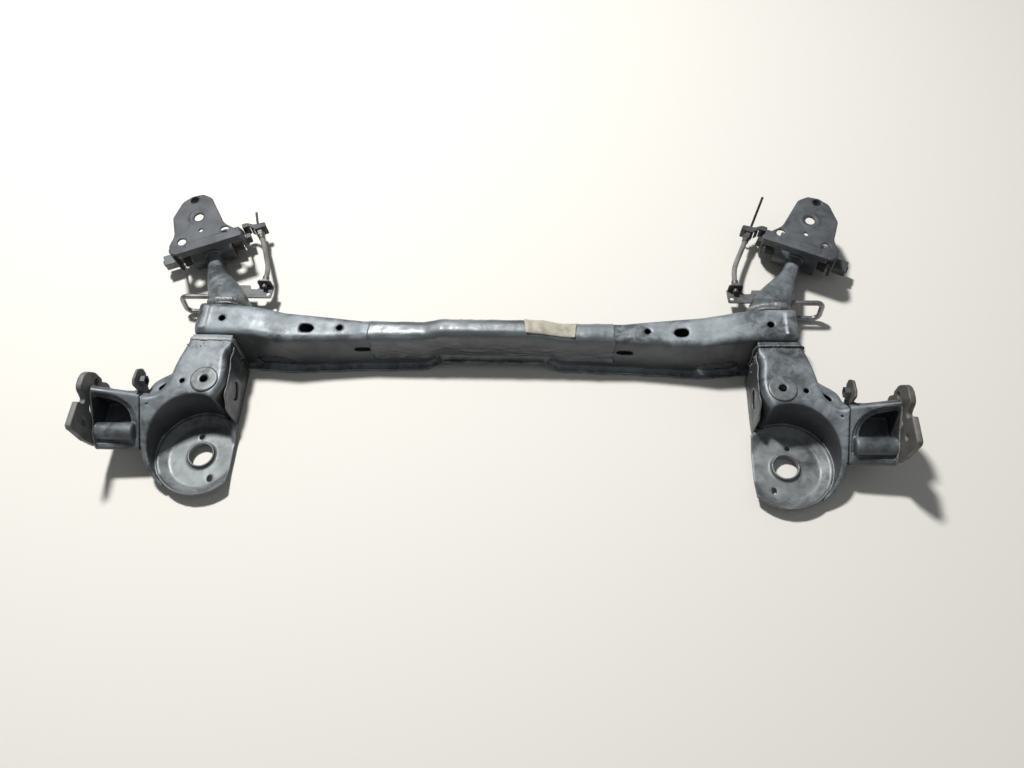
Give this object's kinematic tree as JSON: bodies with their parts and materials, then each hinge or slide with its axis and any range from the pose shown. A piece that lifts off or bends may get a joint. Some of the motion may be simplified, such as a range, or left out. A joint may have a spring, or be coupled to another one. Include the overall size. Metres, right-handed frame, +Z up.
{
  "type": "twist beam rear axle",
  "caption": "Open-channel torsion beam with trailing arms, spring seats, hub plates and rubber-bushed body brackets for a small car's rear suspension.",
  "frame": {"origin": "on the floor under the middle of the axle's overall box", "axes": "+X to the car's right, +Y towards its front, +Z up; the front bush eyes, the beam's flanges and the arms' floor plates lie on Z = 0"},
  "size_m": [1.404, 0.6241, 0.158],
  "materials": {
    "axle_paint": "worn satin black",
    "bracket_paint": "scuffed dark grey",
    "plate_steel": "dusty, lightly rusted",
    "bolt_steel": "dull zinc",
    "sleeve_steel": "dull",
    "loop_steel": "worn",
    "fitting_steel": "tarnished",
    "pipe_steel": "coated pipe",
    "bush_rubber": "matte",
    "hose_rubber": "dusty"
  },
  "bodies": {
    "axle": {"cross_beam": "axle_paint", "bush_rubber_left": "bush_rubber", "bush_rubber_right": "bush_rubber", "bush_shell_left": "sleeve_steel", "bush_shell_right": "sleeve_steel", "bush_eye_left": "axle_paint", "bush_eye_right": "axle_paint", "front_arm_left": "axle_paint", "front_arm_right": "axle_paint", "rear_arm_upper_left": "axle_paint", "rear_arm_upper_right": "axle_paint", "rear_arm_lower_left": "axle_paint", "rear_arm_lower_right": "axle_paint", "spring_seat_left": "axle_paint", "spring_seat_right": "axle_paint", "bump_pad_left": "axle_paint", "bump_pad_right": "axle_paint", "hub_bracket_left": "axle_paint", "hub_bracket_right": "axle_paint", "hub_plate_left": "plate_steel", "hub_plate_right": "plate_steel", "damper_ear_left": "axle_paint", "damper_ear_right": "axle_paint", "damper_weld_nut_left": "bolt_steel", "damper_weld_nut_right": "bolt_steel", "cable_loop_left": "loop_steel", "cable_loop_right": "loop_steel", "beam_end_cap_left": "axle_paint", "beam_end_cap_right": "axle_paint", "lower_hose_fitting_left": "fitting_steel", "lower_hose_fitting_right": "fitting_steel", "lower_hose_bracket_left": "axle_paint", "lower_hose_bracket_right": "axle_paint", "brake_hose_left": "hose_rubber", "brake_hose_right": "hose_rubber"},
    "bracket_left": {"body_bracket_left": "bracket_paint", "bracket_fork_left": "bracket_paint", "pivot_bolt_left": "bolt_steel", "pivot_nut_left": "bolt_steel", "bush_inner_sleeve_left": "sleeve_steel", "hose_tab_left": "bracket_paint", "upper_hose_fitting_left": "fitting_steel", "pipe_union_left": "fitting_steel", "brake_pipe_left": "pipe_steel"},
    "bracket_right": {"body_bracket_right": "bracket_paint", "bracket_fork_right": "bracket_paint", "pivot_bolt_right": "bolt_steel", "pivot_nut_right": "bolt_steel", "bush_inner_sleeve_right": "sleeve_steel", "hose_tab_right": "bracket_paint", "upper_hose_fitting_right": "fitting_steel", "pipe_union_right": "fitting_steel", "brake_pipe_right": "pipe_steel"}
  },
  "joints": [
    {"name": "bush_pivot_left", "type": "hinge", "parent": "axle", "child": "bracket_left", "pos_m": [-0.591, 0.221, 0.031], "axis": [0.9239, 0.3827, 0], "range_deg": [-12, 12], "stiffness_Nm_per_rad": 80, "deforming": ["brake_hose_left"]},
    {"name": "bush_pivot_right", "type": "hinge", "parent": "axle", "child": "bracket_right", "pos_m": [0.591, 0.221, 0.031], "axis": [0.9239, -0.3827, 0], "range_deg": [-12, 12], "stiffness_Nm_per_rad": 80, "deforming": ["brake_hose_right"]}
  ]
}
